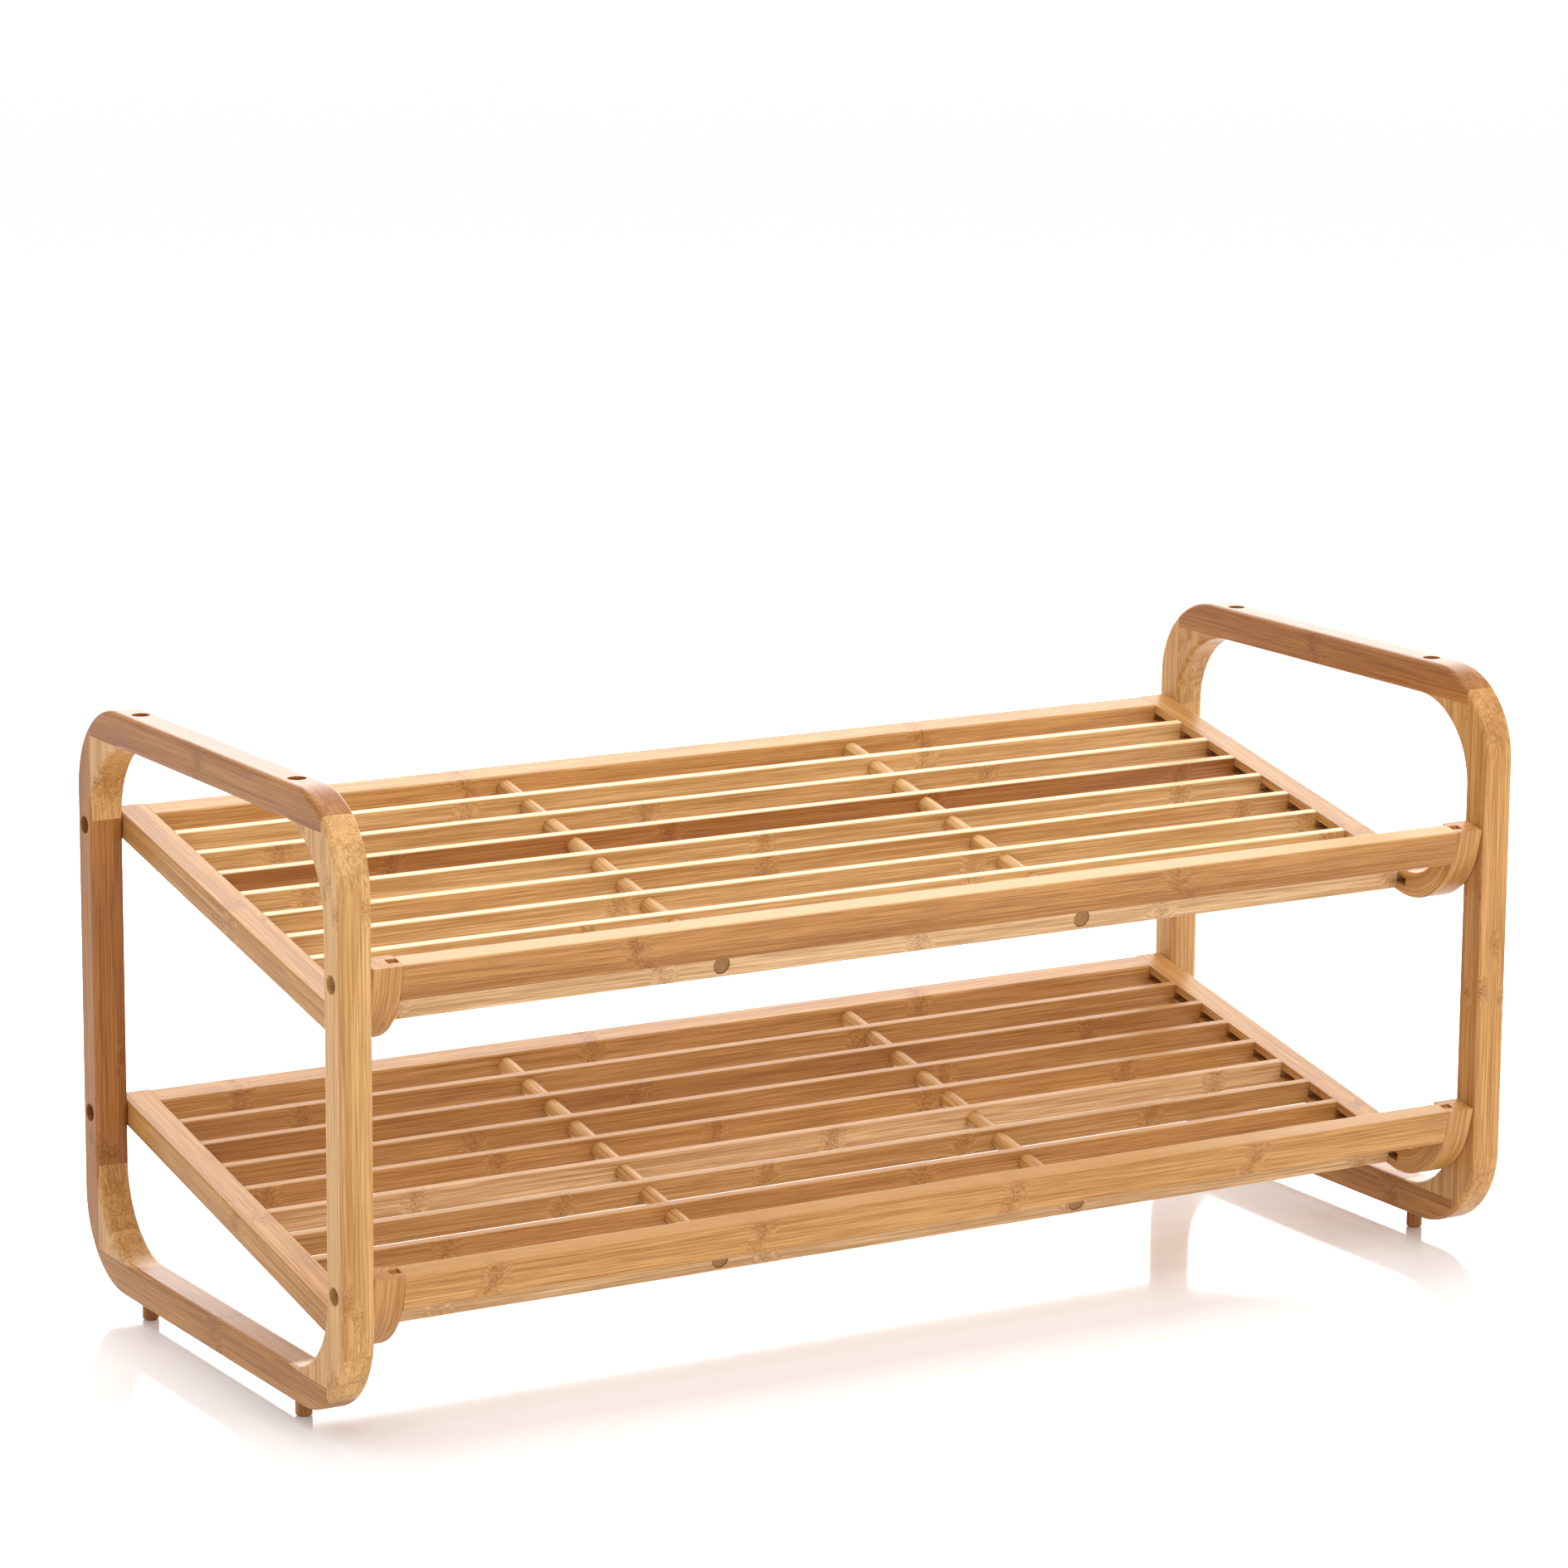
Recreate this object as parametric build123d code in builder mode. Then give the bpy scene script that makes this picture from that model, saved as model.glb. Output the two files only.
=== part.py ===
"""Two-tier slatted bamboo rack: two side frames that carry two sloping shelves.

Millimetres, +Z up, front toward -Y. The origin is on the floor, below the middle of the rack.
"""
import os
from math import cos, radians, sin, sqrt

from build123d import *

# Overall
length = 740.0
depth = 327.0
frame_height = 329.0  # a side frame without its feet
foot_drop = 10.0  # what a foot peg shows below its frame

# Side frames, bamboo bars glued up and then rounded as one ring
frame_thickness = 19.0
bar_width = 19.5  # posts and rails, seen from the side
outer_radius = 50.0
inner_radius = 47.0
frame_round = 3.0  # round-over on the long edges
block_seat = 0.8  # how deep each corner block is let into its post and rail

# Pegs and sockets that let one rack stand on another
peg_diameter = 9.0
peg_spacing = 194.0  # front to back
peg_spigot = 8.0  # diameter of the part that is glued into the rail
peg_seat = 13.0
peg_chamfer = 0.7
socket_diameter = 10.0
socket_depth = 12.0

# Hidden dowels between rails and corner blocks
dowel_diameter = 8.0
dowel_in_rail = 8.0
dowel_cover = 2.6  # wood between a dowel's end and the block's inner curve
dowel_offset = 9.0  # from the post to the dowel's axis
dowel_clearance = 0.15

# Shelves
lower_shelf_height = 80.6  # from the floor to the slats' tops, midway between front and back
top_shelf_drop = 94.9  # from the frames' tops down to the upper slats, at the same place
shelf_tilt = 11.8  # degrees, falling toward the front
back_inset = 7.0  # from the back of the frames to the shelf's back edge
front_inset = 1.1  # from the front of the frames to the hooks' tips
rail_width = 18.0  # side rails, along X
rail_height = 14.5  # every shelf member but the slats, square to the slope
shelf_round = 1.5
flush_round = 0.4  # on the side rails' inner edges, where the other members end flush
hook_height = 40.0  # tip of the hook above the slats
hook_radius = 42.0  # outer radius of the bend
toe_gap = 47.0  # from the hook's front to the front rail
back_rail_depth = 16.0
front_rail_depth = 30.0
lip_height = 20.0
lip_thickness = 13.0
slat_count = 7
slat_thickness = 5.0
slat_height = 14.0
slat_round = 0.7
groove_height = 5.0
groove_depth = 6.5
groove_cover = 4.7  # wood over the groove
groove_overrun = 8.5  # the groove runs on past the front rail
tongue_clearance = 0.15
tongue_end_gap = 0.5
rod_diameter = 10.0
rod_spacing = 231.0
rod_clearance = 0.1
rod_recess = 0.5

# Screws through the posts into the shelves' side rails
screw_diameter = 4.0
screw_tip_cover = 1.0  # wood between a screw's tip and the groove behind it
screw_head_diameter = 8.0
screw_head_height = 3.0
screw_clearance = 0.2
screw_cross = 4.8  # span of the crossed slots
screw_slot = 1.2
screw_slot_depth = 1.4
counterbore_diameter = 10.0
counterbore_depth = 9.0
hook_screw_height = 31.0  # above the slats

# Worked out from the sizes above
top_z = foot_drop + frame_height
frame_middle = foot_drop + frame_height / 2
frame_inner = frame_height / 2 - bar_width  # from there to a rail's inner face
half_depth = depth / 2
post_face = half_depth - bar_width  # inner face of the posts
post_middle = half_depth - bar_width / 2
frame_x = (length - frame_thickness) / 2  # middle plane of a side frame
curve_run = inner_radius - dowel_offset - dowel_diameter / 2
dowel_in_block = inner_radius - sqrt(inner_radius ** 2 - curve_run ** 2) - dowel_cover
shelf_half = length / 2 - frame_thickness  # outer faces of the shelves' side rails
rail_face = shelf_half - rail_width  # inner faces of the side rails
tilt_cos = cos(radians(shelf_tilt))
tilt_sin = sin(radians(shelf_tilt))
shelf_back = (half_depth - back_inset) / tilt_cos
hook_front = (hook_height * tilt_sin - half_depth + front_inset) / tilt_cos
hook_back = hook_front + rail_height
front_rail_front = hook_front + toe_gap
rail_mid = -rail_height / 2
groove_front = front_rail_front - groove_overrun
slat_space = shelf_back - back_rail_depth - front_rail_front - front_rail_depth
slat_pitch = (slat_space + slat_thickness) / (slat_count + 1)
back_screw_s = (post_middle + rail_mid * tilt_sin) / tilt_cos
hook_screw_s = (hook_screw_height * tilt_sin - post_middle) / tilt_cos
screw_seat = length / 2 - counterbore_depth
screw_length = screw_seat - rail_face - groove_depth - screw_tip_cover

shelves = {"top_shelf": top_z - top_shelf_drop, "lower_shelf": lower_shelf_height}
sides = {"left": -1, "right": 1}
ends = {"front": -1, "back": 1}
levels = {"top": 1, "bottom": -1}


def profile_plane(height, x):
    """Upright plane across a shelf: local X up the slope, local Y square to it."""
    return Plane((x, 0, height), x_dir=(0, tilt_cos, tilt_sin), z_dir=(1, 0, 0))


def block_between(x, y, z, mode=Mode.ADD):
    """Box between three pairs of limits, in the open part's own frame."""
    with Locations(((x[0] + x[1]) / 2, (y[0] + y[1]) / 2, (z[0] + z[1]) / 2)):
        Box(x[1] - x[0], y[1] - y[0], z[1] - z[0], mode=mode)


def span(side, near, far):
    """Two distances from the middle, in rising order, on the side of that sign."""
    return sorted((side * near, side * far))


def finish(piece, name):
    """Name a finished piece and write its file."""
    piece.part.label = name
    export_step(piece.part, f"parts/{name}.step")


def frame_ring(side):
    """A whole side frame after rounding, before its seams divide it."""
    with BuildPart() as ring:
        with BuildSketch(Plane.YZ.offset(side * frame_x - frame_thickness / 2)):
            with Locations((0, frame_middle)):
                RectangleRounded(depth, frame_height, outer_radius)
                RectangleRounded(2 * post_face, 2 * frame_inner, inner_radius, mode=Mode.SUBTRACT)
        extrude(amount=frame_thickness)
        fillet(ring.faces().filter_by(Axis.X).edges(), frame_round)
    return ring.part


def corner_limits(end, level):
    """Limits in Y and Z of the corner block at one end and level of a frame."""
    y = span(end, post_face - inner_radius, post_face + block_seat)
    low, high = span(level, frame_inner - inner_radius, frame_inner + block_seat)
    return y, (frame_middle + low, frame_middle + high)


def screw_spots(height):
    """Y and Z of a shelf's two screws at one side, at its back and in its hook."""
    back_z = height + back_screw_s * tilt_sin + rail_mid * tilt_cos
    hook_z = height + hook_screw_s * tilt_sin + hook_screw_height * tilt_cos
    return [(post_middle, back_z), (-post_middle, hook_z)]


def frame_holes(side):
    """Screw holes and counterbores of a side frame, as one tool to take away."""
    outer_plane = Plane((side * length / 2, 0, 0), x_dir=(0, 1, 0), z_dir=(side, 0, 0))
    spots = [(y, side * z) for height in shelves.values() for y, z in screw_spots(height)]
    with BuildPart(mode=Mode.PRIVATE) as tool:
        with BuildSketch(outer_plane):
            with Locations(spots):
                Circle(counterbore_diameter / 2)
        extrude(amount=-counterbore_depth)
        with BuildSketch(outer_plane):
            with Locations(spots):
                Circle(screw_diameter / 2 + screw_clearance)
        extrude(amount=-frame_thickness)
    return tool.part


def joint_dowels(side, clearance=0.0):
    """The four hidden dowels of a side frame, or the tool that drills their holes."""
    with BuildPart(mode=Mode.PRIVATE) as dowels:
        for level in levels.values():
            joint = frame_middle + level * frame_inner
            z = joint + level * (dowel_in_rail - dowel_in_block) / 2
            y = post_face - dowel_offset
            with Locations((side * frame_x, -y, z), (side * frame_x, y, z)):
                Cylinder(dowel_diameter / 2 + clearance, dowel_in_rail + dowel_in_block)
    return dowels.part


def make_post(side_name, end_name, ring, holes):
    side, end = sides[side_name], ends[end_name]
    with BuildPart() as post:
        add(ring)
        block_between(span(side, 0, length), span(end, post_face, depth), (0, top_z), Mode.INTERSECT)
        for level in levels.values():
            y, z = corner_limits(end, level)
            block_between(span(side, 0, length), y, z, Mode.SUBTRACT)
        add(holes, mode=Mode.SUBTRACT)
    finish(post, f"{side_name}_frame_{end_name}_post")


def make_frame_rail(side_name, level_name, ring):
    side, level = sides[side_name], levels[level_name]
    low, high = span(level, frame_inner, frame_height)
    hole_places = [(side * frame_x, end * peg_spacing / 2) for end in ends.values()]
    with BuildPart() as rail:
        add(ring)
        block_between(span(side, 0, length), (-post_face, post_face),
                      (frame_middle + low, frame_middle + high), Mode.INTERSECT)
        for end in ends.values():
            y, z = corner_limits(end, level)
            block_between(span(side, 0, length), y, z, Mode.SUBTRACT)
        add(joint_dowels(side, dowel_clearance), mode=Mode.SUBTRACT)
        with BuildSketch(Plane.XY.offset(top_z if level > 0 else foot_drop)):
            with Locations(hole_places):
                Circle((socket_diameter if level > 0 else peg_spigot) / 2)
        extrude(amount=-socket_depth if level > 0 else peg_seat, mode=Mode.SUBTRACT)
    finish(rail, f"{side_name}_frame_{level_name}_rail")


def make_corner_block(side_name, end_name, level_name, ring):
    side, end, level = sides[side_name], ends[end_name], levels[level_name]
    y, z = corner_limits(end, level)
    with BuildPart() as block:
        add(ring)
        block_between(span(side, 0, length), y, z, Mode.INTERSECT)
        add(joint_dowels(side, dowel_clearance), mode=Mode.SUBTRACT)
    finish(block, f"{side_name}_frame_{level_name}_{end_name}_block")


def make_foot(side_name, end_name):
    place = (sides[side_name] * frame_x, ends[end_name] * peg_spacing / 2)
    with BuildPart() as foot:
        with BuildSketch():
            with Locations(place):
                Circle(peg_diameter / 2)
        extrude(amount=foot_drop)
        chamfer(foot.edges().group_by(Axis.Z)[0], peg_chamfer)
        with BuildSketch(Plane.XY.offset(foot_drop)):
            with Locations(place):
                Circle(peg_spigot / 2)
        extrude(amount=peg_seat)
    finish(foot, f"{side_name}_frame_{end_name}_foot")


def make_side_frame(side_name):
    ring = frame_ring(sides[side_name])
    holes = frame_holes(sides[side_name])
    for end_name in ends:
        make_post(side_name, end_name, ring, holes)
        make_foot(side_name, end_name)
    for level_name in levels:
        make_frame_rail(side_name, level_name, ring)
        for end_name in ends:
            make_corner_block(side_name, end_name, level_name, ring)
    with BuildPart() as dowels:
        add(joint_dowels(sides[side_name]))
    finish(dowels, f"{side_name}_frame_joint_dowels")


def rectangle_between(a, b):
    """Rectangle between two pairs of limits, in the open sketch's own frame."""
    with Locations(((a[0] + a[1]) / 2, (b[0] + b[1]) / 2)):
        Rectangle(a[1] - a[0], b[1] - b[0])


def lip_slot_limits(clearance):
    """Limits along the slope of the slot for the lip board's tongues."""
    front = hook_front + groove_cover
    return front + clearance, front + groove_height - clearance


def groove_limits(clearance):
    """Limits square to the slope of the groove for every other tongue."""
    return -groove_cover - groove_height + clearance, -groove_cover - clearance


def screws(shelf_name, side):
    """The back screw and the hook screw at one side of a shelf."""
    with BuildPart(mode=Mode.PRIVATE) as pair:
        for y, z in screw_spots(shelves[shelf_name]):
            seat = Plane((side * screw_seat, y, z), x_dir=(0, 1, 0), z_dir=(side, 0, 0))
            with BuildSketch(seat):
                Circle(screw_head_diameter / 2)
            extrude(amount=screw_head_height)
            with BuildSketch(seat.offset(screw_head_height)):
                Rectangle(screw_cross, screw_slot)
                Rectangle(screw_slot, screw_cross)
            extrude(amount=-screw_slot_depth, mode=Mode.SUBTRACT)
            with BuildSketch(seat):
                Circle(screw_diameter / 2)
            extrude(amount=-screw_length)
    return pair.part


def make_side_rail(shelf_name, side_name):
    """Bent rail: straight up the slope, with a hook that rises at the front."""
    height, side = shelves[shelf_name], sides[side_name]
    inner_bend = hook_radius - rail_height
    bend_s = hook_front + hook_radius
    bend_n = inner_bend
    with BuildPart() as rail:
        with BuildSketch(profile_plane(height, span(side, rail_face, shelf_half)[0])):
            with BuildLine():
                Line((bend_s, 0), (shelf_back, 0))
                Line((shelf_back, 0), (shelf_back, -rail_height))
                Line((shelf_back, -rail_height), (bend_s, -rail_height))
                CenterArc((bend_s, bend_n), hook_radius, 180, 90)
                Line((hook_front, bend_n), (hook_front, hook_height))
                Line((hook_front, hook_height), (hook_back, hook_height))
                Line((hook_back, hook_height), (hook_back, bend_n))
                CenterArc((bend_s, bend_n), inner_bend, 180, 90)
            make_face()
        extrude(amount=rail_width)
        for x, radius in ((shelf_half, shelf_round), (rail_face, flush_round)):
            flat_sides = rail.faces().filter_by(Axis.X)
            fillet(flat_sides.sort_by_distance((side * x, 0, height))[0].edges(), radius)
        with BuildSketch(profile_plane(height, span(side, rail_face, rail_face + groove_depth)[0])):
            rectangle_between((groove_front, shelf_back), groove_limits(0))
            rectangle_between(lip_slot_limits(0), (hook_height - lip_height, hook_height))
        extrude(amount=groove_depth, mode=Mode.SUBTRACT)
        add(screws(shelf_name, side), mode=Mode.SUBTRACT)
    finish(rail, f"{shelf_name}_{side_name}_rail")


def rods(shelf_name, radius, back, front):
    """Both rods of a shelf, or the tool that drills their holes."""
    height = shelves[shelf_name]
    start = Plane((0, back * tilt_cos, height + back * tilt_sin), x_dir=(1, 0, 0),
                  z_dir=(0, -tilt_cos, -tilt_sin))
    with BuildPart(mode=Mode.PRIVATE) as pair:
        with BuildSketch(start):
            with Locations((-rod_spacing / 2, rail_mid), (rod_spacing / 2, rail_mid)):
                Circle(radius)
        extrude(amount=back - front)
    return pair.part


def make_member(shelf_name, name, s, n, tongue_s, tongue_n, round_over):
    """A bar along X between the side rails: its section, then the section of its tongues."""
    height = shelves[shelf_name]
    reach = rail_face + groove_depth - tongue_end_gap
    with BuildPart() as member:
        with BuildSketch(profile_plane(height, -rail_face)):
            rectangle_between(s, n)
        extrude(amount=2 * rail_face)
        fillet(member.edges().filter_by(Axis.X), round_over)
        with BuildSketch(profile_plane(height, -reach)):
            rectangle_between(tongue_s, tongue_n)
        extrude(amount=2 * reach)
        add(rods(shelf_name, rod_diameter / 2 + rod_clearance, shelf_back, front_rail_front),
            mode=Mode.SUBTRACT)
    finish(member, f"{shelf_name}_{name}")


def make_shelf(shelf_name):
    for side_name in sides:
        make_side_rail(shelf_name, side_name)
    tongue_n = groove_limits(tongue_clearance)
    bars = {"back_rail": (shelf_back - back_rail_depth, shelf_back),
            "front_rail": (front_rail_front, front_rail_front + front_rail_depth)}
    for name, s in bars.items():
        tongue_s = s[0] + shelf_round, s[1] - shelf_round
        make_member(shelf_name, name, s, (-rail_height, 0), tongue_s, tongue_n, shelf_round)
    for index in range(slat_count):
        s_back = shelf_back - back_rail_depth - slat_pitch * (index + 1) + slat_thickness
        s = (s_back - slat_thickness, s_back)
        tongue_s = s[0] + slat_round, s[1] - slat_round
        make_member(shelf_name, f"slat_{index + 1}", s, (-slat_height, 0), tongue_s, tongue_n,
                    slat_round)
    lip_n = (hook_height - lip_height, hook_height)
    lip_tongue_n = lip_n[0] + shelf_round, lip_n[1] - shelf_round
    make_member(shelf_name, "lip_board", (hook_front, hook_front + lip_thickness), lip_n,
                lip_slot_limits(tongue_clearance), lip_tongue_n, shelf_round)
    both = rods(shelf_name, rod_diameter / 2, shelf_back - rod_recess, front_rail_front + rod_recess)
    for rod, side_name in zip(both.solids().sort_by(Axis.X), sides):
        with BuildPart() as piece:
            add(rod)
        finish(piece, f"{shelf_name}_{side_name}_rod")
    with BuildPart() as fixings:
        for side in sides.values():
            add(screws(shelf_name, side))
    finish(fixings, f"{shelf_name}_screws")


os.makedirs("parts", exist_ok=True)
for frame_side in sides:
    make_side_frame(frame_side)
for shelf in shelves:
    make_shelf(shelf)
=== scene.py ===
"""Looks of the two-tier bamboo rack. Metres, +Z up, front toward -Y, origin on the floor."""

from itertools import product
from math import cos, radians, sin

import bpy
from mathutils import Matrix, Vector


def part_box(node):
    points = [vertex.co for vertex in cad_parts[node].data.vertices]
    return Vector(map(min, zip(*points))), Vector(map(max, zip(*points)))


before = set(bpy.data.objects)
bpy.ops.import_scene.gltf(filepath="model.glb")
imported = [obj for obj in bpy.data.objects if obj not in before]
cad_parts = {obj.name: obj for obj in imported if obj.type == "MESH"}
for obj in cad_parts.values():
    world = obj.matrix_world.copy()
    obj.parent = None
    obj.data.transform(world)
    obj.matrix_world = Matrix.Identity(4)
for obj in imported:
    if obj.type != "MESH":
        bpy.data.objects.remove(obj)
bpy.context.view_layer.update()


# --- Posts: the uprights of both side frames.
# Bamboo strips glued up into square bars, the grain upright, the long edges rounded over and the
# whole frame sanded and lacquered satin. Their outer ends are the rounded corners of the frame.
def linear(code, scale=(1, 1, 1)):
    """An sRGB hex colour as the linear values that a shader takes."""
    parts = [int(code[i:i + 2], 16) / 255 for i in (1, 3, 5)]
    parts = [p / 12.92 if p <= 0.04045 else ((p + 0.055) / 1.055) ** 2.4 for p in parts]
    return (*(p * k for p, k in zip(parts, scale)), 1)


def put(tree, kind, settings, inputs):
    """Add one node: its settings, then each input as a value or another node's output."""
    node = tree.nodes.new(kind)
    for key, value in settings.items():
        setattr(node, key, value)
    for key, value in inputs.items():
        if isinstance(value, bpy.types.NodeSocket):
            tree.links.new(value, node.inputs[key])
        else:
            node.inputs[key].default_value = value
    return node


def bamboo(name, tone, grain, middle, strips, joints, seed, bend=None, trim=None):
    """Lacquered bamboo strips. Inside it one unit is 1 mm: X runs with the grain from middle.

    grain: the directions of the grain and of the two ways across it.
    strips: for both ways across, where one seam lies and how wide a strip is.
    joints: where one culm joint lies along the grain, how far apart they are, and how much
    neighbouring strips differ.
    seed: picks the pattern, so that no two pieces are cut from the same culm.
    bend and trim: functions that curve the grain, and that change the colour in one place.
    """
    wood = bpy.data.materials.new(name)
    wood.use_nodes = True
    tree = wood.node_tree
    tree.nodes.clear()
    turn = Matrix(grain)
    place = put(tree, "ShaderNodeTexCoord", {}, {})
    mm = put(tree, "ShaderNodeMapping", {}, {
        "Vector": place.outputs["Object"], "Location": -1000 * (turn @ middle),
        "Rotation": turn.to_euler(), "Scale": (1000, 1000, 1000)}).outputs[0]
    if bend:
        mm = bend(tree, mm)
    way = put(tree, "ShaderNodeSeparateXYZ", {}, {0: mm})

    # Each strip has its own tone and its own stretch of the pattern.
    seams, cells = [], []
    for output, (seam, width) in zip(way.outputs[1:], strips):
        across = put(tree, "ShaderNodeMath", {"operation": "SUBTRACT"}, {0: output, 1: seam})
        cells.append(put(tree, "ShaderNodeMath", {"operation": "SNAP"}, {0: across.outputs[0], 1: width}))
        seams.append(put(tree, "ShaderNodeMath", {"operation": "PINGPONG"},
                         {0: across.outputs[0], 1: width / 2}))
    cell = put(tree, "ShaderNodeCombineXYZ", {}, {0: cells[0].outputs[0], 1: cells[1].outputs[0]})
    strip = put(tree, "ShaderNodeTexWhiteNoise", {"noise_dimensions": "4D"},
                {"Vector": cell.outputs[0], "W": seed})

    # Distance from the nearest culm joint, where the fibres curl.
    first, apart, spread = joints
    ragged_by, curl_reach, curl_depth = 9, 11.0, 5
    strip_shift = (800, 90, 90)
    shifted = put(tree, "ShaderNodeMath", {"operation": "MULTIPLY_ADD"},
                  {0: strip.outputs["Value"], 1: spread, 2: -first - spread / 2})
    along = put(tree, "ShaderNodeMath", {"operation": "ADD"}, {0: way.outputs[0], 1: shifted.outputs[0]})
    wrapped = put(tree, "ShaderNodeMath", {"operation": "WRAP"},
                  {0: along.outputs[0], 1: apart / 2, 2: -apart / 2})
    off = put(tree, "ShaderNodeMath", {"operation": "ABSOLUTE"}, {0: wrapped.outputs[0]})
    curl = put(tree, "ShaderNodeTexNoise", {"noise_dimensions": "4D"},
               {"Vector": mm, "W": seed, "Scale": 0.28, "Detail": 3.0})
    ragged = put(tree, "ShaderNodeMath", {"operation": "MULTIPLY_ADD"},
                 {0: curl.outputs["Fac"], 1: ragged_by, 2: -ragged_by / 2})
    ragged = put(tree, "ShaderNodeMath", {"operation": "ADD"}, {0: off.outputs[0], 1: ragged.outputs[0]})
    near = put(tree, "ShaderNodeMapRange", {"interpolation_type": "SMOOTHSTEP"},
               {"Value": ragged.outputs[0], "From Min": curl_reach, "From Max": 0.0})
    reach = put(tree, "ShaderNodeVectorMath", {"operation": "SCALE"},
                {0: (0, curl_depth, curl_depth), "Scale": near.outputs[0]})
    curled = put(tree, "ShaderNodeVectorMath", {"operation": "MULTIPLY_ADD"},
                 {0: curl.outputs["Color"], 1: reach.outputs[0], 2: mm})
    fibre = put(tree, "ShaderNodeVectorMath", {"operation": "MULTIPLY_ADD"},
                {0: strip.outputs["Color"], 1: strip_shift, 2: curled.outputs[0]})

    # Fibre bundles: streaks of about 1 mm and finer ones of 0.5 mm, drawn about twice as
    # coarse as real ones so that they show, and a slow change along the culm.
    streak_scale, fine_scale, slow_scale = (0.012, 0.9, 0.9), (0.03, 2.0, 2.0), (0.007, 0.12, 0.12)
    streak_contrast, streak_bias, slow_contrast, strip_contrast = 3.2, -1.8, 1.0, 0.5
    darker, paler, fibre_shade = (0.70, 0.60, 0.48), (1.20, 1.26, 1.36), (0.55, 0.42, 0.32)
    streak_place = put(tree, "ShaderNodeVectorMath", {"operation": "MULTIPLY"},
                       {0: fibre.outputs[0], 1: streak_scale})
    streak = put(tree, "ShaderNodeTexNoise", {"noise_dimensions": "4D"},
                 {"Vector": streak_place.outputs[0], "W": seed, "Scale": 1.0, "Detail": 3.0,
                  "Roughness": 0.62})
    fine_place = put(tree, "ShaderNodeVectorMath", {"operation": "MULTIPLY"},
                     {0: fibre.outputs[0], 1: fine_scale})
    fine = put(tree, "ShaderNodeTexNoise", {"noise_dimensions": "4D"},
               {"Vector": fine_place.outputs[0], "W": seed + 3, "Scale": 1.0, "Detail": 2.0})
    slow_place = put(tree, "ShaderNodeVectorMath", {"operation": "MULTIPLY"},
                     {0: fibre.outputs[0], 1: slow_scale})
    slow = put(tree, "ShaderNodeTexNoise", {"noise_dimensions": "4D"},
               {"Vector": slow_place.outputs[0], "W": seed + 7, "Scale": 1.0, "Detail": 1.0})
    depth = put(tree, "ShaderNodeMath", {"operation": "MULTIPLY_ADD"},
                {0: streak.outputs["Fac"], 1: streak_contrast, 2: streak_bias})
    depth = put(tree, "ShaderNodeMath", {"operation": "MULTIPLY_ADD"},
                {0: slow.outputs["Fac"], 1: slow_contrast, 2: depth.outputs[0]})
    depth = put(tree, "ShaderNodeMath", {"operation": "MULTIPLY_ADD"},
                {0: strip.outputs["Value"], 1: strip_contrast, 2: depth.outputs[0]})
    skin = put(tree, "ShaderNodeMix", {"data_type": "RGBA", "clamp_factor": True},
               {0: depth.outputs[0], 6: linear(tone, darker), 7: linear(tone, paler)})
    dark = put(tree, "ShaderNodeMapRange", {},
               {"Value": fine.outputs["Fac"], "From Min": 0.5, "From Max": 0.68, "To Max": 0.7})
    skin = put(tree, "ShaderNodeMix", {"data_type": "RGBA"},
               {0: dark.outputs[0], 6: skin.outputs[2], 7: linear(tone, fibre_shade)})

    # The joint itself: short dark flecks across a ragged band, in a faint warm smudge.
    band_inside, band_outside, band_strength, smudge_strength = 1.5, 6.0, 0.7, 0.12
    joint_shade = (0.52, 0.38, 0.25)
    fleck = put(tree, "ShaderNodeTexNoise", {"noise_dimensions": "4D"},
                {"Vector": fibre.outputs[0], "W": seed + 5, "Scale": 0.8, "Detail": 3.0, "Distortion": 0.8})
    flecked = put(tree, "ShaderNodeMapRange", {},
                  {"Value": fleck.outputs["Fac"], "From Min": 0.5, "From Max": 0.58, "To Min": 0.04})
    band = put(tree, "ShaderNodeMapRange", {"interpolation_type": "SMOOTHSTEP"},
               {"Value": ragged.outputs[0], "From Min": band_outside, "From Max": band_inside,
                "To Max": band_strength})
    band = put(tree, "ShaderNodeMath", {"operation": "MULTIPLY"},
               {0: band.outputs[0], 1: flecked.outputs[0]})
    smudge = put(tree, "ShaderNodeMath", {"operation": "MULTIPLY_ADD"},
                 {0: near.outputs[0], 1: smudge_strength, 2: band.outputs[0]})
    skin = put(tree, "ShaderNodeMix", {"data_type": "RGBA"},
               {0: smudge.outputs[0], 6: skin.outputs[2], 7: linear(tone, joint_shade)})

    # Glue seams between strips.
    glue_width, glue_strength, glue_shade = 0.3, 0.22, (0.5, 0.4, 0.32)
    seam = put(tree, "ShaderNodeMath", {"operation": "MINIMUM"},
               {0: seams[0].outputs[0], 1: seams[1].outputs[0]})
    glue = put(tree, "ShaderNodeMapRange", {},
               {"Value": seam.outputs[0], "From Min": glue_width, "From Max": 0.05, "To Max": glue_strength})
    skin = put(tree, "ShaderNodeMix", {"data_type": "RGBA"},
               {0: glue.outputs[0], 6: skin.outputs[2], 7: linear(tone, glue_shade)})
    skin = skin.outputs[2]
    if trim:
        skin = trim(tree, way, skin)

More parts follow.
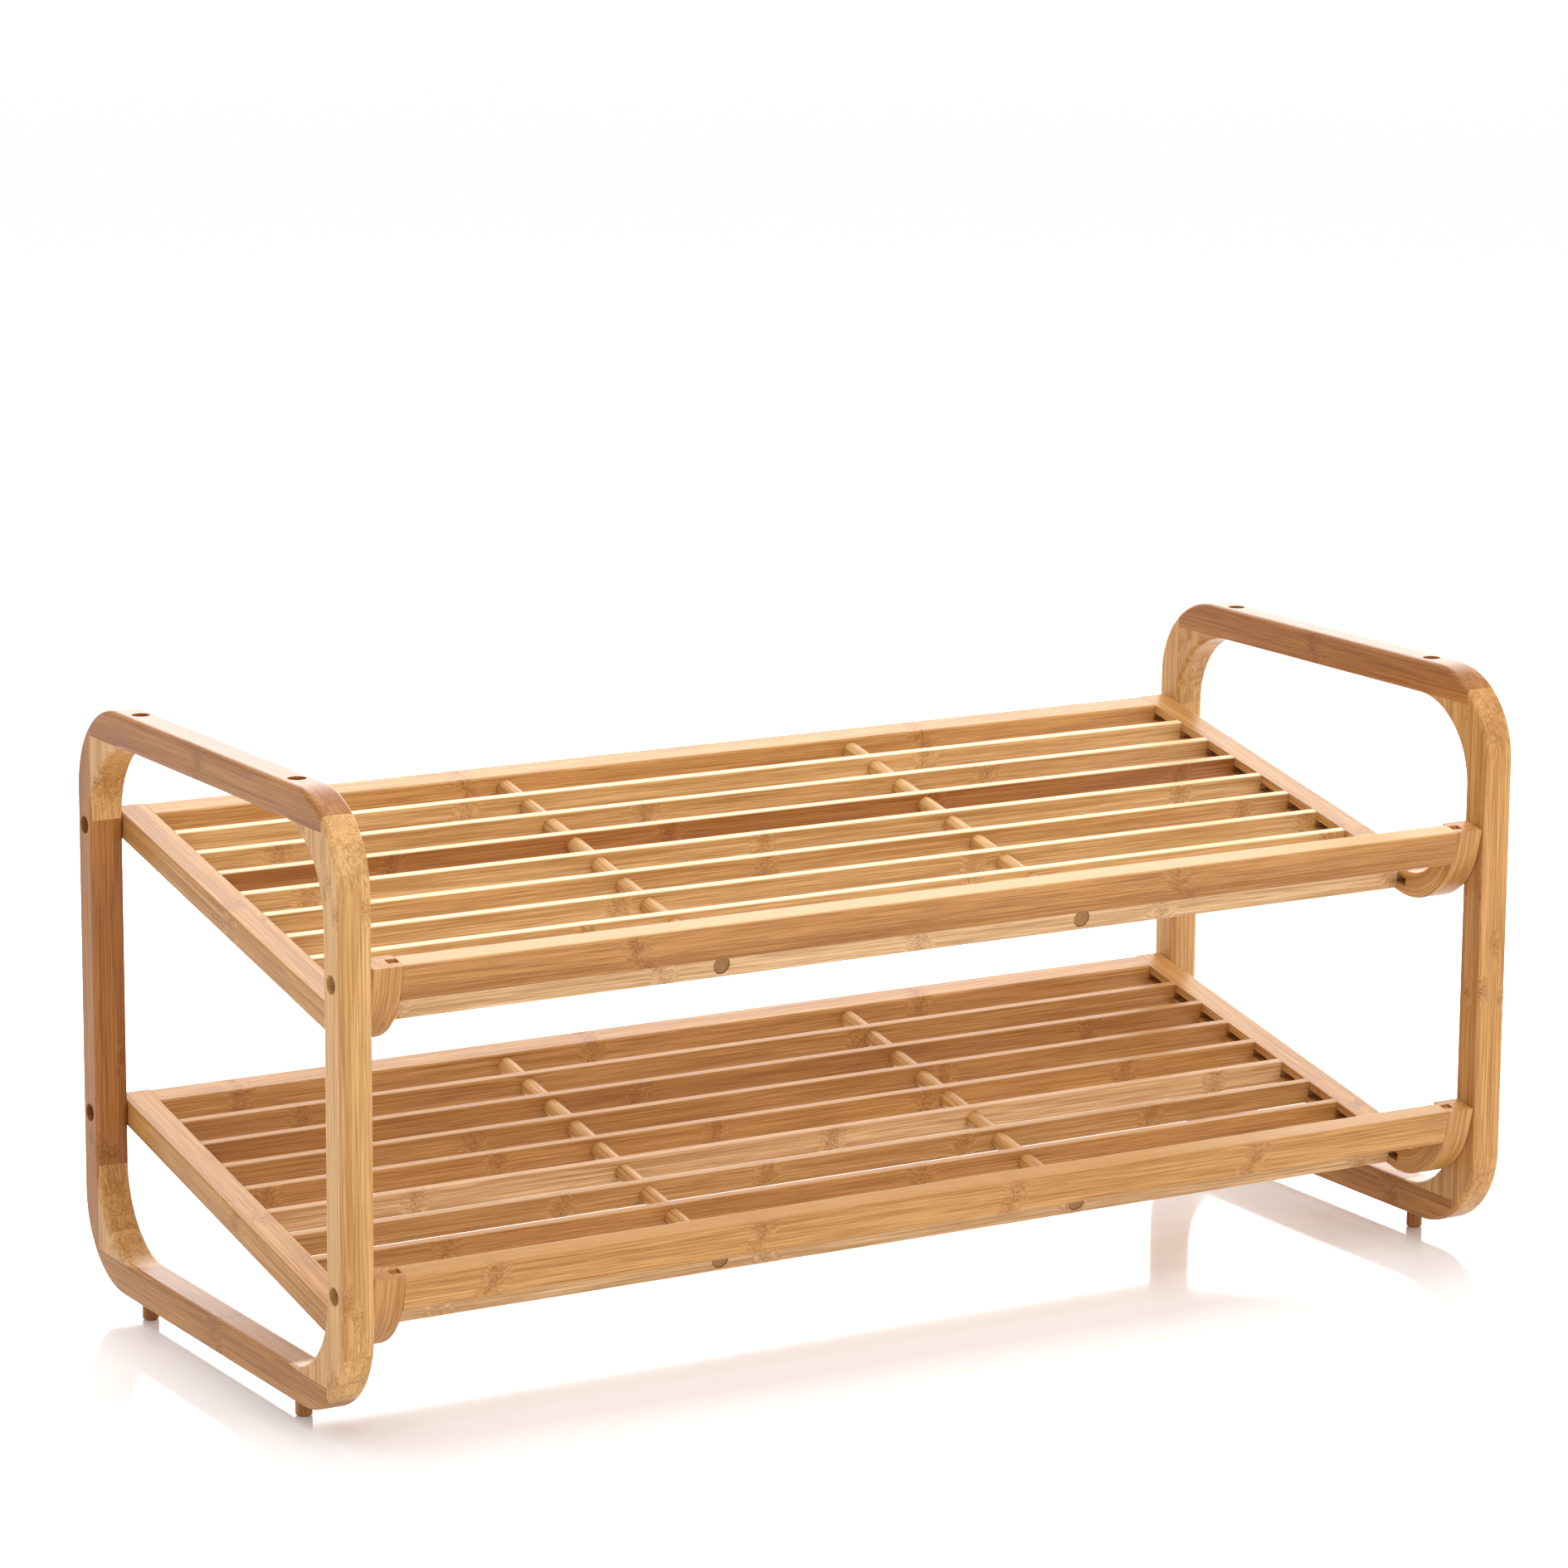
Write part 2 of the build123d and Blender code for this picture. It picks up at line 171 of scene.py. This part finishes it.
    # Satin lacquer over open grain: the shine breaks up along the fibres.
    relief_height = 0.0002
    rough = put(tree, "ShaderNodeMapRange", {},
                {"Value": streak.outputs["Fac"], "To Min": 0.3, "To Max": 0.46})
    relief = put(tree, "ShaderNodeMath", {"operation": "MULTIPLY_ADD"},
                 {0: fine.outputs["Fac"], 1: 0.5, 2: streak.outputs["Fac"]})
    groove = put(tree, "ShaderNodeMath", {"operation": "SUBTRACT"},
                 {0: relief.outputs[0], 1: glue.outputs[0]})
    bump = put(tree, "ShaderNodeBump", {},
               {"Strength": 0.25, "Distance": relief_height, "Height": groove.outputs[0]})
    lacquer = put(tree, "ShaderNodeBsdfPrincipled", {},
                  {"Base Color": skin, "Roughness": rough.outputs[0], "IOR": 1.5,
                   "Specular IOR Level": 0.22, "Coat Weight": 0.08, "Coat Roughness": 0.2,
                   "Normal": bump.outputs[0]})
    put(tree, "ShaderNodeOutputMaterial", {}, {"Surface": lacquer.outputs[0]})
    return wood


def dress(node, material):
    """Give a CAD piece its finish."""
    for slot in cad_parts[node].material_slots:
        slot.material = material


along_x, along_y, along_z = Vector((1, 0, 0)), Vector((0, 1, 0)), Vector((0, 0, 1))
upright = (along_z, along_x, along_y)
left_right = ("left", "right")
front_back = {"front": -1, "back": 1}
# Shades of bamboo, from plain strips to carbonised ones. Every bar is cut from one batch or another.
shades = {"straw": "#e0b886", "wheat": "#d4aa70", "honey": "#c99a5f", "amber": "#be8b50",
          "caramel": "#b17c43", "toffee": "#a26a34"}
bar_strips = (3.4, 6.8)  # a seam on each side of the middle, so three strips make a bar
# Shade and one culm joint of each post, in millimetres above its middle.
posts = {"left_front": ("honey", -120), "left_back": ("toffee", -80),
         "right_front": ("amber", 15), "right_back": ("honey", 60)}
for seed, (post, (shade, joint)) in enumerate(posts.items(), start=11):
    side, end = post.split("_")
    node = f"{side}_frame_{end}_post"
    low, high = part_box(node)
    middle = (low + high) / 2
    middle.y = low.y if end == "front" else high.y
    first_seam = -1.5 * front_back[end]
    dress(node, bamboo(f"bamboo_post_{post}", shades[shade], upright, middle,
                       (bar_strips, (first_seam, 6.4)), (joint, 260, 90), seed))


# --- Frame rails: the top and bottom bars between the posts, glued and dowelled to them.
# The same strips, with the grain running from front to back.
lengthwise = (along_y, along_z, along_x)
rails = {"left_top": ("toffee", 5), "left_bottom": ("caramel", -10),
         "right_top": ("toffee", 5), "right_bottom": ("caramel", -85)}
for seed, (rail, (shade, joint)) in enumerate(rails.items(), start=21):
    side, level = rail.split("_")
    node = f"{side}_frame_{level}_rail"
    low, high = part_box(node)
    dress(node, bamboo(f"bamboo_frame_rail_{rail}", shades[shade], lengthwise, (low + high) / 2,
                       (bar_strips, bar_strips), (joint, 240, 8), seed))


# --- Corner blocks: solid bamboo let into each inner corner of the frames, the grain upright.
# Paler than the bars; their inner faces are sanded to a long curve that cuts across the strips.
no_seam = (60, 120)  # the nearest seam lies beyond the piece
block_joint = {"front": 20, "back": 8}
for seed, (side, end, level) in enumerate(product(left_right, front_back, ("top", "bottom")), start=31):
    node = f"{side}_frame_{level}_{end}_block"
    low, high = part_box(node)
    dress(node, bamboo(f"bamboo_block_{side}_{level}_{end}", shades["honey"], upright, (low + high) / 2,
                       (no_seam, (2.4, 6.0)), (block_joint[end], 180, 60), seed))


# --- Joint dowels: short turned bamboo pins, glued into the rails and the corner blocks.
# They are hidden inside the joints, so they are left plain and pale.
no_joint = (500, 2000, 1)  # the nearest culm joint lies beyond the pin
for seed, side in enumerate(left_right, start=41):
    node = f"{side}_frame_joint_dowels"
    low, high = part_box(node)
    dress(node, bamboo(f"dowel_{side}", shades["straw"], upright, (low + high) / 2,
                       (no_seam, no_seam), no_joint, seed))


# --- Foot pegs: short turned bamboo pins under the frames, given a darker shade as painted shade, for they stand in the shadow of the frames.
# They drop into the sockets of a rack below.
for seed, (side, end) in enumerate(product(left_right, front_back), start=44):
    node = f"{side}_frame_{end}_foot"
    low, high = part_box(node)
    dress(node, bamboo(f"bamboo_peg_{side}_{end}", shades["toffee"], upright, (low + high) / 2,
                       (no_seam, no_seam), no_joint, seed))


# --- Shelf side rails: three bamboo layers bent and glued over a form, the tip standing up as
# a hook at the front. The grain and both glue lines follow the bend.
tilt = radians(11.8)
up_slope = Vector((0, cos(tilt), sin(tilt)))
off_slope = Vector((0, -sin(tilt), cos(tilt)))
sloped = (up_slope, off_slope, along_x)
straight_run, inner_bend = 0.2754, 0.0275  # metres from the back end to the bend, and its inner radius
half_height = 7  # millimetres from the inside of the bend to the middle layer


def follow_hook(tree, mm):
    """Straight along the rail and round its hook: X follows the bend, Y is depth from the inside."""
    way = put(tree, "ShaderNodeSeparateXYZ", {}, {0: mm})
    inner = inner_bend * 1000
    forward = put(tree, "ShaderNodeMath", {"operation": "MINIMUM"}, {0: way.outputs[0], 1: 0})
    downward = put(tree, "ShaderNodeMath", {"operation": "MINIMUM"}, {0: way.outputs[1], 1: 0})
    spoke = put(tree, "ShaderNodeCombineXYZ", {}, {0: forward.outputs[0], 1: downward.outputs[0]})
    reach = put(tree, "ShaderNodeVectorMath", {"operation": "LENGTH"}, {0: spoke.outputs[0]})
    layer = put(tree, "ShaderNodeMath", {"operation": "SUBTRACT"}, {0: inner, 1: reach.outputs["Value"]})
    ahead = put(tree, "ShaderNodeMath", {"operation": "ABSOLUTE"}, {0: forward.outputs[0]})
    below = put(tree, "ShaderNodeMath", {"operation": "ABSOLUTE"}, {0: downward.outputs[0]})
    angle = put(tree, "ShaderNodeMath", {"operation": "ARCTAN2"}, {0: ahead.outputs[0], 1: below.outputs[0]})
    back = put(tree, "ShaderNodeMath", {"operation": "MAXIMUM"}, {0: way.outputs[0], 1: 0})
    above = put(tree, "ShaderNodeMath", {"operation": "MAXIMUM"}, {0: way.outputs[1], 1: 0})
    run = put(tree, "ShaderNodeMath", {"operation": "MULTIPLY_ADD"},
              {0: angle.outputs[0], 1: -inner - half_height, 2: back.outputs[0]})
    run = put(tree, "ShaderNodeMath", {"operation": "SUBTRACT"}, {0: run.outputs[0], 1: above.outputs[0]})
    bent = put(tree, "ShaderNodeCombineXYZ", {},
               {0: run.outputs[0], 1: layer.outputs[0], 2: way.outputs[2]})
    return bent.outputs[0]


shelves = ("top_shelf", "lower_shelf")
side_rail_joint = {"left": 120, "right": 60}
for seed, (shelf, side) in enumerate(product(shelves, left_right), start=51):
    node = f"{shelf}_{side}_rail"
    low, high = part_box(node)
    back_end = Vector(((low.x + high.x) / 2, high.y, high.z))
    bend_centre = back_end - straight_run * up_slope + inner_bend * off_slope
    dress(node, bamboo(f"bent_bamboo_{shelf}_{side}", shades["amber"], sloped, bend_centre,
                       ((0.35, 5.05), (4.5, 9)), (side_rail_joint[side], 290, 30), seed, bend=follow_hook))


# --- Back and front rails of the shelves: flat bamboo bars, tongued into the side rails.
# Two strips high, the grain running from side to side.
crosswise = (along_x, up_slope, off_slope)
unseamed = (20, 40)  # one strip deep along the slope
# Shade, one culm joint from the middle toward the right, and the distance between joints.
cross_bars = {"top_shelf_back_rail": ("amber", 170, 305), "top_shelf_front_rail": ("straw", -150, 160),
              "lower_shelf_back_rail": ("amber", -60, 225), "lower_shelf_front_rail": ("straw", -95, 200)}
for seed, (node, (shade, joint, apart)) in enumerate(cross_bars.items(), start=61):
    low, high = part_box(node)
    dress(node, bamboo(f"bamboo_{node}", shades[shade], crosswise, (low + high) / 2, (unseamed, (1.5, 9.5)),
                       (joint, apart, 20), seed))


# --- Lip boards: wider bars held between the hooks, so that shoes don't slide off.
# Three strips high, with strong joint marks.
def sawn_edge_with_painted_light(half, code):
    """A board's top edge in a colour of its own, which holds painted light: on the lips and the top shelf's
    slats paler sawn wood with a painted highlight, on the lower shelf's slats painted shade; half is its
    distance from the middle in mm.
    """
    def top_edge_light_and_shade(tree, way, skin):
        edge = put(tree, "ShaderNodeMapRange", {},
                   {"Value": way.outputs[2], "From Min": half - 0.6, "From Max": half - 0.1, "To Max": 0.6})
        return put(tree, "ShaderNodeMix", {"data_type": "RGBA"},
                   {0: edge.outputs[0], 6: skin, 7: linear(code)}).outputs[2]
    return top_edge_light_and_shade


half_lip = 10
# Shade, one culm joint, the distance between joints, and the top edge's colour: paler sawn wood with a
# painted highlight from above.
lips = {"top_shelf_lip_board": ("caramel", 145, 340, "#dab27a"),
        "lower_shelf_lip_board": ("amber", 40, 160, "#c6965c")}
for seed, (node, (shade, joint, apart, lip_edge_with_painted_highlight)) in enumerate(lips.items(), start=71):
    low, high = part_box(node)
    dress(node, bamboo(f"bamboo_{node}", shades[shade], crosswise, (low + high) / 2, (unseamed, (3.3, 6.6)),
                       (joint, apart, 12), seed, trim=sawn_edge_with_painted_light(half_lip, lip_edge_with_painted_highlight)))


# --- Slats: seven thin strips on edge in each shelf, one culm wall thick, tongued into the
# side rails and threaded on the rods. Their top edges have a colour of their own: on the top
# shelf paler sawn wood with a painted highlight from the light above, on the lower shelf
# painted shade from the top shelf.
# Top edge colours: the top shelf's are paler sawn wood with a painted highlight, the lower shelf's are
# painted shade under the top shelf.
slat_edge_painted_light_and_shade = {"top_shelf": "#f2ddb0", "lower_shelf": "#b5834e"}
slats = {"top_shelf": (("wheat", 150, 305), ("honey", -55, 230), ("toffee", -55, 175),
                       ("wheat", -10, 285), ("honey", -25, 325), ("wheat", 95, 230), ("wheat", 75, 245)),
         "lower_shelf": (("amber", 105, 365), ("caramel", -60, 310), ("amber", 130, 310),
                         ("amber", -40, 140), ("straw", -245, 265), ("honey", -40, 130), ("amber", 45, 300))}
one_culm_wall = (30, 60)  # a slat is smaller than a strip, so no seam shows
half_slat = 7
first_seed = {"top_shelf": 81, "lower_shelf": 91}
for shelf, row in slats.items():
    for number, (shade, joint, apart) in enumerate(row):
        node = f"{shelf}_slat_{number + 1}"
        low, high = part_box(node)
        dress(node, bamboo(f"bamboo_{node}", shades[shade], crosswise, (low + high) / 2,
                           (one_culm_wall, one_culm_wall), (joint, apart, 1), first_seed[shelf] + number,
                           trim=sawn_edge_with_painted_light(half_slat, slat_edge_painted_light_and_shade[shelf])))


# --- Rods: two 10 mm bamboo dowels through the rails and slats of each shelf, sanded pale.
# Their ends show brown end grain in the rails, with a painted ring of shade where the end sits just below
# the face.
def end_grain_with_shaded_rim(half):
    """Brown end grain with a painted ring of shade round its rim, at both ends of a rod; half is half its
    length in mm.
    """
    shade_ring_inside, shade_ring_outside, brown = 4.3, 4.8, 0.5
    def darken(tree, way, skin):
        ahead = put(tree, "ShaderNodeMath", {"operation": "ABSOLUTE"}, {0: way.outputs[0]})
        end = put(tree, "ShaderNodeMapRange", {},
                  {"Value": ahead.outputs[0], "From Min": half - 1.0, "From Max": half - 0.3})
        section = put(tree, "ShaderNodeCombineXYZ", {}, {0: way.outputs[1], 1: way.outputs[2]})
        out = put(tree, "ShaderNodeVectorMath", {"operation": "LENGTH"}, {0: section.outputs[0]})
        # a ring of painted shade round the rim of the end
        painted_rim_shade = put(tree, "ShaderNodeMapRange", {},
                  {"Value": out.outputs["Value"], "From Min": shade_ring_inside, "From Max": shade_ring_outside,
                   "To Min": brown})
        painted_rim_shade = put(tree, "ShaderNodeMath", {"operation": "MULTIPLY"}, {0: painted_rim_shade.outputs[0], 1: end.outputs[0]})
        return put(tree, "ShaderNodeMix", {"data_type": "RGBA"},
                   {0: painted_rim_shade.outputs[0], 6: skin, 7: linear("#6e4a2c")}).outputs[2]
    return darken


rod_diameter = 10
jointless = (400, 1500, 1)  # the nearest culm joint lies beyond the rod
for seed, (shelf, side) in enumerate(product(shelves, left_right), start=101):
    node = f"{shelf}_{side}_rod"
    low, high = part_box(node)
    half_rod = ((high.y - low.y) * 1000 - rod_diameter * sin(tilt)) / 2 / cos(tilt)
    dress(node, bamboo(f"bamboo_rod_{shelf}_{side}", shades["honey"], sloped, (low + high) / 2,
                       (no_seam, no_seam), jointless, seed, trim=end_grain_with_shaded_rim(half_rod)))


# --- Screws: cross-head wood screws, driven through the posts into the side rails of the shelves.
# Zinc-plated steel, bright but dulled by its fine crystals, sunk below the face of the post.
def zinc(name):
    """Zinc plate: grey crystals of about a millimetre, some duller than others."""
    crystals_per_metre = 900.0
    metal = bpy.data.materials.new(name)
    metal.use_nodes = True
    tree = metal.node_tree
    tree.nodes.clear()
    place = put(tree, "ShaderNodeTexCoord", {}, {})
    grain = put(tree, "ShaderNodeTexNoise", {},
                {"Vector": place.outputs["Object"], "Scale": crystals_per_metre, "Detail": 3.0})
    rough = put(tree, "ShaderNodeMapRange", {},
                {"Value": grain.outputs["Fac"], "To Min": 0.25, "To Max": 0.5})
    shade = put(tree, "ShaderNodeMix", {"data_type": "RGBA"},
                {0: grain.outputs["Fac"], 6: linear("#8f8d89"), 7: linear("#b9b6ae")})
    shader = put(tree, "ShaderNodeBsdfPrincipled", {},
                 {"Base Color": shade.outputs[2], "Metallic": 1.0, "Roughness": rough.outputs[0]})
    put(tree, "ShaderNodeOutputMaterial", {}, {"Surface": shader.outputs[0]})
    return metal


zinc_plate = zinc("zinc_plated_steel")
for shelf in shelves:
    dress(f"{shelf}_screws", zinc_plate)


# --- Studio: a white floor with a soft shine and an even white surround. One large soft light
# hangs overhead, a second fills from the front right, and a bright wall stands behind.
def plain(name, code, roughness):
    """One even colour with one even shine."""
    surface = bpy.data.materials.new(name)
    surface.use_nodes = True
    shader = surface.node_tree.nodes["Principled BSDF"]
    shader.inputs["Base Color"].default_value = linear(code)
    shader.inputs["Roughness"].default_value = roughness
    return surface


floor_size, below_feet = 80, 0.0003
bpy.ops.object.select_all(action="DESELECT")
bpy.ops.mesh.primitive_plane_add(size=floor_size, location=(0, 0, -below_feet))
floor = bpy.context.object
floor.name = "floor"
floor.data.materials.append(plain("white_floor", "#fcfdff", 0.07))

world = bpy.data.worlds.new("white_surround")
bpy.context.scene.world = world
world.use_nodes = True
world.node_tree.nodes["Background"].inputs["Color"].default_value = (1, 1, 1, 1)
world.node_tree.nodes["Background"].inputs["Strength"].default_value = 1.0


def soft_light(name, place, aim, size, watts):
    """A square soft light at one place, turned to another."""
    lamp = bpy.data.lights.new(name, "AREA")
    lamp.shape = "SQUARE"
    lamp.size = size
    lamp.energy = watts
    body = bpy.data.objects.new(name, lamp)
    body.location = place
    body.rotation_euler = (Vector(aim) - Vector(place)).to_track_quat("-Z", "Y").to_euler()
    bpy.context.scene.collection.objects.link(body)


soft_light("overhead", (0.2, 0.4, 2.4), (0, 0, 0.2), 2.4, 27)
soft_light("front_right", (0.9, -3.0, 1.9), (0, 0, 0.15), 1.8, 33)
soft_light("white_wall", (2.2, 4.4, 2.0), (0, 0, 1.2), 4.6, 200)

camera = bpy.data.cameras.new("camera")
camera.sensor_width = 36
camera.lens = 126.7
camera.clip_end = 200
viewer = bpy.data.objects.new("camera", camera)
yaw, pitch, roll = radians(30.65), radians(11.61), radians(0.39)
look = Vector((sin(yaw) * cos(pitch), cos(yaw) * cos(pitch), -sin(pitch)))
level = Vector((cos(yaw), -sin(yaw), 0))
upward = level.cross(look)
across = cos(roll) * level + sin(roll) * upward
upward = cos(roll) * upward - sin(roll) * level
viewer.matrix_world = Matrix.Translation((-1.552, -2.595, 0.904)) @ Matrix(
    (across, upward, -look)).transposed().to_4x4()
bpy.context.scene.collection.objects.link(viewer)
bpy.context.scene.camera = viewer
bpy.context.scene.view_settings.view_transform = "Standard"
